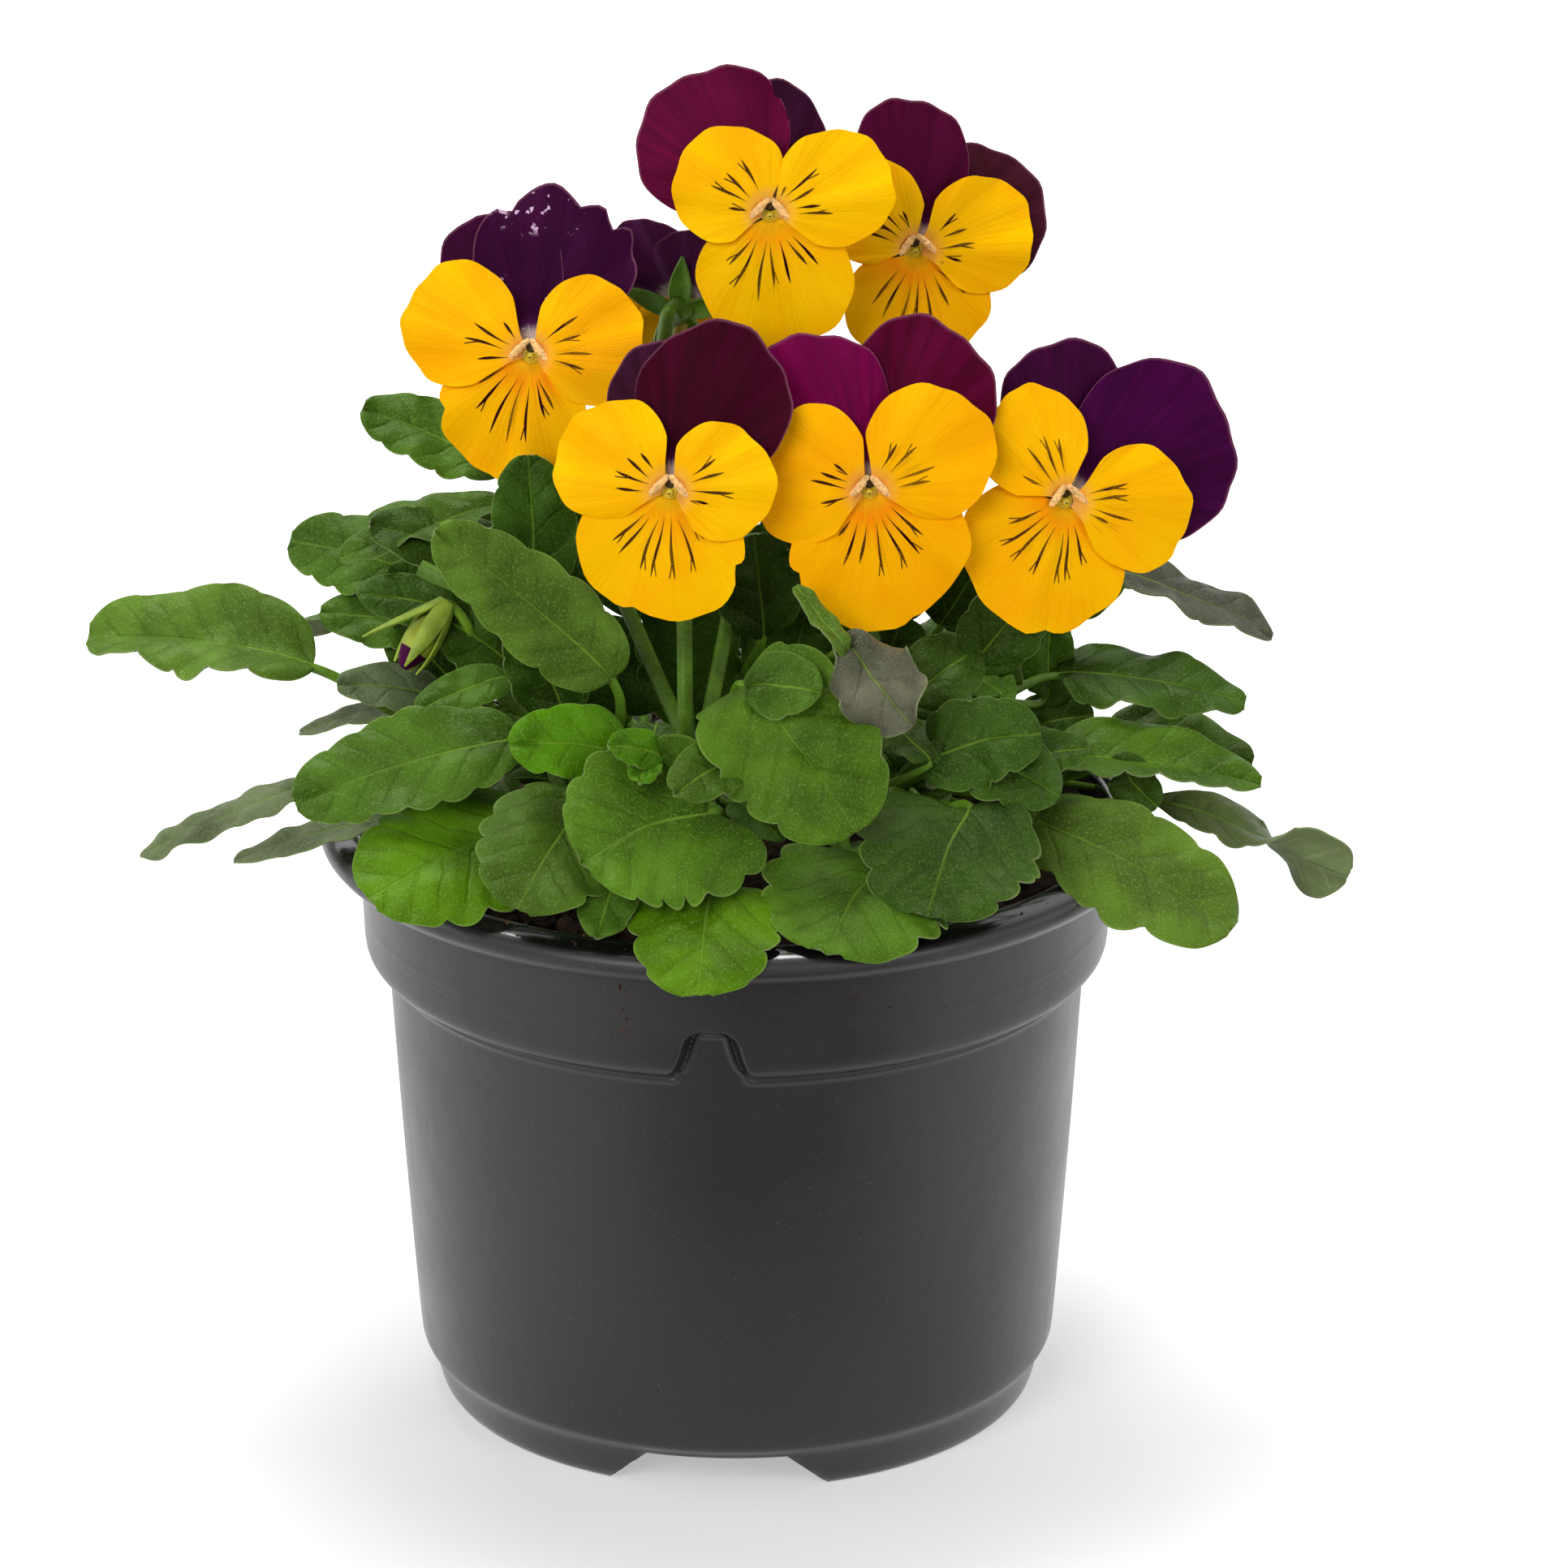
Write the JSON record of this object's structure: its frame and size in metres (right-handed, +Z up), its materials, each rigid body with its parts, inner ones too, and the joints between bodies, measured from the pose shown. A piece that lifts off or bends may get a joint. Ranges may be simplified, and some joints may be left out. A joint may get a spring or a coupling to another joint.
{
  "type": "potted viola",
  "caption": "Viola plant in a round black nursery pot: leafy crown with orange-yellow and purple flowers on slender stalks, standing on a notched foot.",
  "frame": {"origin": "under the pot's centre, on the surface it stands on; the plant's outermost leaves balance about it", "axes": "+Z up along the pot's axis; the flowers' best side looks along -Y"},
  "size_m": [0.1857, 0.1352, 0.2001],
  "materials": {
    "black_plastic": "satin",
    "peat": "matte",
    "leaf_green": "satin",
    "stem_green": "satin",
    "yellow_petal": "matte",
    "purple_petal": "matte"
  },
  "bodies": {
    "root": {"flower_1_lower_petals": "yellow_petal", "flower_1_upper_petals": "purple_petal", "flower_2_lower_petals": "yellow_petal", "flower_2_upper_petals": "purple_petal", "flower_3_lower_petals": "yellow_petal", "flower_3_upper_petals": "purple_petal", "flower_4_lower_petals": "yellow_petal", "flower_4_upper_petals": "purple_petal", "flower_5_lower_petals": "yellow_petal", "flower_5_upper_petals": "purple_petal", "flower_6_lower_petals": "yellow_petal", "flower_6_upper_petals": "purple_petal", "flower_7_lower_petals": "yellow_petal", "flower_7_upper_petals": "purple_petal", "flower_bud": "stem_green", "flower_stalk_1": "stem_green", "flower_stalk_2": "stem_green", "flower_stalk_3": "stem_green", "flower_stalk_4": "stem_green", "flower_stalk_5": "stem_green", "flower_stalk_6": "stem_green", "flower_stalk_7": "stem_green", "leaf_back_high": "leaf_green", "leaf_back_left": "leaf_green", "leaf_back_low": "leaf_green", "leaf_back_low_left": "leaf_green", "leaf_back_low_right": "leaf_green", "leaf_back_right": "leaf_green", "leaf_bright_left": "leaf_green", "leaf_centre_dark": "leaf_green", "leaf_centre_large": "leaf_green", "leaf_centre_left_high": "leaf_green", "leaf_centre_small": "leaf_green", "leaf_curled_purple": "leaf_green", "leaf_far_left": "leaf_green", "leaf_far_right": "leaf_green", "leaf_front_centre": "leaf_green", "leaf_front_left_round": "leaf_green", "leaf_front_low": "leaf_green", "leaf_front_right": "leaf_green", "leaf_front_right_low": "leaf_green", "leaf_left_behind_flower": "leaf_green", "leaf_left_bud": "leaf_green", "leaf_left_high_far": "leaf_green", "leaf_left_high_near": "leaf_green", "leaf_left_large": "leaf_green", "leaf_left_low": "leaf_green", "leaf_left_mid": "leaf_green", "leaf_left_pale_low": "leaf_green", "leaf_left_pale_rim": "leaf_green", "leaf_right_high": "leaf_green", "leaf_right_inner": "leaf_green", "leaf_right_large": "leaf_green", "leaf_right_mid": "leaf_green", "leaf_right_middle": "leaf_green", "leaf_right_middle_back": "leaf_green", "leaf_right_upper": "leaf_green", "plant_crown": "stem_green", "pot": "black_plastic", "potting_soil": "peat"}
  },
  "joints": []
}
